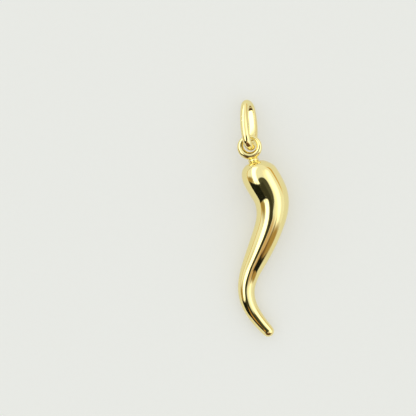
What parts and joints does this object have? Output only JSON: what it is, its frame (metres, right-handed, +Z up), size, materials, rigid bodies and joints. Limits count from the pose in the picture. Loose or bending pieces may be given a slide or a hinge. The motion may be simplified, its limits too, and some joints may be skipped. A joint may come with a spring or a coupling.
{
  "type": "cornicello horn pendant",
  "caption": "Hollow polished gold horn charm with a tapering S-curved body, a collar and round eye at its top and a loose oval bail, lying at rest.",
  "frame": {"origin": "on the surface that the pendant lies on, under the middle of its box", "axes": "+X across the pendant, +Y along it from the horn's tip to the bail, +Z up from the surface"},
  "size_m": [0.0068, 0.031, 0.0049],
  "materials": {
    "polished_gold": "mirror polished 18 carat yellow gold",
    "bail_gold": "mirror polished 18 carat yellow gold wire"
  },
  "bodies": {
    "root": {"horn": "polished_gold", "bail": "bail_gold"}
  },
  "joints": []
}
